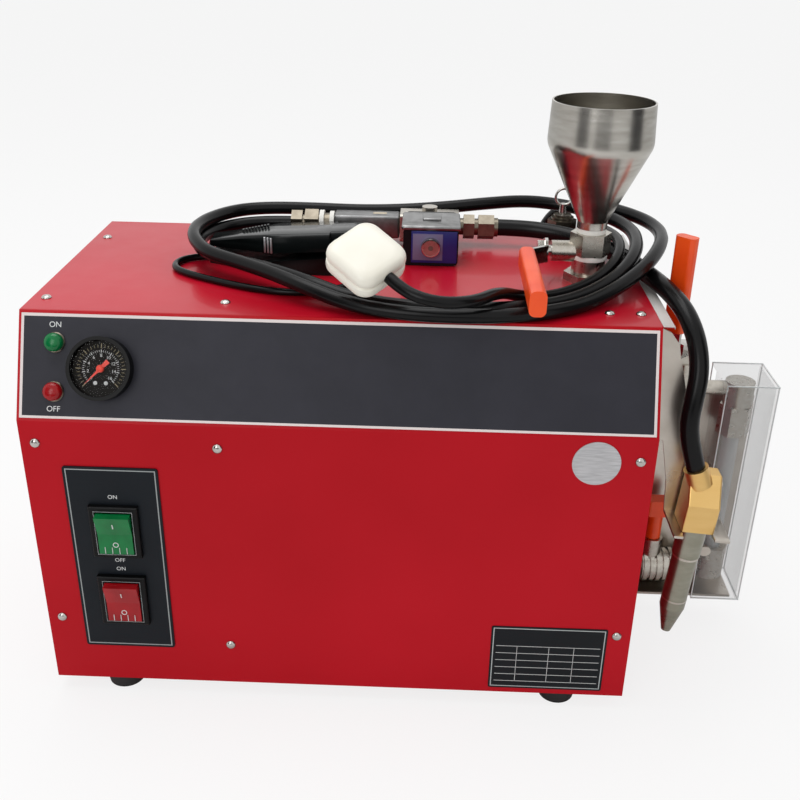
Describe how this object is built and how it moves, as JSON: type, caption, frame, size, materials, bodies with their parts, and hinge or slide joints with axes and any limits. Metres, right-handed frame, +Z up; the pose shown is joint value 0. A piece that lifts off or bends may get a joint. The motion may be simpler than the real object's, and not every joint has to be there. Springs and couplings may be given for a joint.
{
  "type": "jewelry steam cleaner",
  "caption": "Bench-top steam cleaner: red sheet-metal cabinet over a boiler, filling funnel with ball valve, water-level gauge in a guard, hand nozzle in its rest, foot pedal and leads on top.",
  "frame": {"origin": "middle of the cabinet's footprint, on the plane the four feet stand on", "axes": "+Z up, +Y from the control side to the rear, +X to the right toward the level gauge"},
  "size_m": [0.529, 0.3601, 0.4185],
  "materials": {
    "cabinet_red": "satin enamel, bright red",
    "band_slate": "printed film, dark slate with a light border",
    "black_rubber": "smooth black",
    "black_plastic": "fine satin",
    "dark_plastic": "satin, dark green-black",
    "chrome": "polished",
    "stainless": "brushed",
    "polished_steel": "polished sheet",
    "brass": "bright",
    "orange_grip": "dipped, orange",
    "dial": "black with white marks",
    "needle": "orange-red",
    "clear_glass": "clear",
    "clear_acrylic": "clear, polished edges",
    "green_lens": "translucent green",
    "red_lens": "translucent red",
    "green_key": "translucent green",
    "red_key": "translucent red",
    "white_plastic": "white",
    "silver_label": "printed label",
    "black_label": "printed label",
    "grey_steel": "mill finish",
    "bronze_steel": "satin nozzle"
  },
  "bodies": {
    "cabinet": {"base_pan": "cabinet_red", "left_side_panel": "cabinet_red", "right_side_panel": "cabinet_red", "rear_panel": "cabinet_red", "front_cover": "cabinet_red", "top_cover": "cabinet_red", "feet": "black_rubber", "panel_screws": "chrome", "control_overlay": "band_slate", "gauge_case": "black_plastic", "gauge_dial": "dial", "gauge_lens": "clear_glass", "green_lamp": "green_lens", "red_lamp": "red_lens", "switch_plate": "black_plastic", "rocker_frames": "black_plastic", "rating_plate": "black_label", "round_label": "silver_label", "boiler_tank": "stainless", "heating_element": "grey_steel", "inner_controls": "black_plastic", "inner_pipes": "stainless", "funnel": "stainless", "filler_valve_body": "stainless", "safety_valve_body": "chrome", "steam_valve_body": "stainless", "solenoid_coil": "black_plastic", "valve_unions": "chrome", "pedal_base": "dark_plastic", "pedal_pin": "chrome", "mains_plug": "white_plastic", "plug_pins": "brass", "supply_hose": "black_rubber", "steam_hose": "black_rubber", "mains_lead": "black_rubber", "mains_lead_end": "black_rubber", "mains_coil": "black_rubber", "pedal_cable": "black_rubber", "pedal_cable_end": "black_rubber", "pedal_coil": "black_rubber", "cable_glands": "black_plastic", "steam_outlet": "chrome", "nozzle_holder": "polished_steel", "upper_gauge_cock": "chrome", "lower_gauge_cock": "chrome", "gauge_glass": "clear_glass", "gauge_bracket": "grey_steel", "gauge_guard": "clear_acrylic"},
    "green_switch": {"green_rocker": "green_key"},
    "red_switch": {"red_rocker": "red_key"},
    "pointer": {"gauge_needle": "needle"},
    "filler_handle": {"filler_valve_lever": "chrome", "filler_lever_grip": "orange_grip"},
    "relief_ring": {"safety_valve_ring": "chrome"},
    "treadle": {"pedal_treadle": "dark_plastic"},
    "upper_handle": {"upper_cock_lever": "chrome", "upper_cock_grip": "orange_grip"},
    "lower_handle": {"lower_cock_handle": "orange_grip"},
    "handpiece": {"handpiece_block": "brass", "nozzle_tube": "bronze_steel"}
  },
  "joints": [
    {"name": "green_rocker_pivot", "type": "hinge", "parent": "cabinet", "child": "green_switch", "pos_m": [-0.1522, -0.121, 0.1435], "axis": [-1, 0, 0], "range_deg": [0, 16]},
    {"name": "red_rocker_pivot", "type": "hinge", "parent": "cabinet", "child": "red_switch", "pos_m": [-0.1522, -0.121, 0.086], "axis": [-1, 0, 0], "range_deg": [0, 16]},
    {"name": "gauge_pointer", "type": "hinge", "parent": "cabinet", "child": "pointer", "pos_m": [-0.154, -0.1097, 0.2604], "axis": [0, 0.9051, -0.4251], "range_deg": [0, 270], "stiffness_Nm_per_rad": 0.0002, "springref_deg": -17.19},
    {"name": "filler_lever_turn", "type": "hinge", "parent": "cabinet", "child": "filler_handle", "pos_m": [0.1477, 0.0035, 0.313], "axis": [-1, 0, 0], "range_deg": [0, 90]},
    {"name": "relief_ring_pull", "type": "slide", "parent": "cabinet", "child": "relief_ring", "axis": [0, 0, 1], "range_m": [0, 0.004], "stiffness_N_per_m": 2500, "springref_m": -0.002},
    {"name": "treadle_press", "type": "hinge", "parent": "cabinet", "child": "treadle", "pos_m": [-0.003, 0.03, 0.314], "axis": [0, -1, 0], "range_deg": [0, 4], "stiffness_Nm_per_rad": 6, "springref_deg": -2.01},
    {"name": "upper_cock_turn", "type": "hinge", "parent": "cabinet", "child": "upper_handle", "pos_m": [0.25, -0.004, 0.233], "axis": [0, 0, 1], "range_deg": [0, 90]},
    {"name": "lower_cock_turn", "type": "hinge", "parent": "cabinet", "child": "lower_handle", "pos_m": [0.246, -0.004, 0.09], "axis": [0, 0, -1], "range_deg": [0, 90]},
    {"name": "handpiece_lift", "type": "slide", "parent": "cabinet", "child": "handpiece", "axis": [0.0811, 0, 0.9967], "range_m": [0, 0.04], "deforming": ["steam_hose"]}
  ]
}
